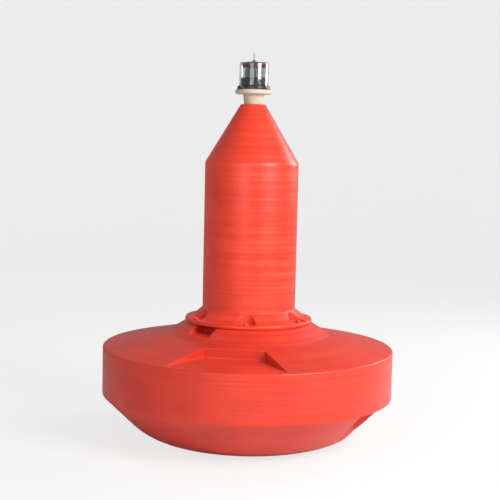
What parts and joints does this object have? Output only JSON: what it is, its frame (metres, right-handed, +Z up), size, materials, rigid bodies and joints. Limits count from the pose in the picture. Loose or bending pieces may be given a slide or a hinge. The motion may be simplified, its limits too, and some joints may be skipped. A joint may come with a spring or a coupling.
{
  "type": "navigation buoy",
  "caption": "Round disc float with a bolted-on tower, a beige neck and a clear marine lantern, for marking channels and protected waters.",
  "frame": {"origin": "centre of the float's flat bottom, on the plane it stands on", "axes": "+Z up along the tower; -Y and +Y point out through the two deck pockets"},
  "size_m": [1.5, 1.5, 1.9772],
  "materials": {
    "float_plastic": "satin rotomoulded polyethylene, signal red",
    "tower_plastic": "satin rotomoulded polyethylene, signal red",
    "neck_plastic": "moulded, beige",
    "lantern_black": "moulded, black",
    "column_grey": "moulded, mid grey",
    "light_red": "clear red lens ring",
    "clear_cover": "clear polycarbonate",
    "galvanised_steel": "hot-dip galvanised",
    "spike_steel": "dull stainless"
  },
  "bodies": {
    "root": {"float_body": "float_plastic", "mooring_plate": "galvanised_steel", "mooring_lug": "galvanised_steel", "tower_body": "tower_plastic", "neck_flange_pipe": "neck_plastic", "lantern_base": "lantern_black", "battery_case": "lantern_black", "light_column": "column_grey", "light_ring": "light_red", "lantern_cover": "clear_cover", "bird_spike": "spike_steel"}
  },
  "joints": []
}
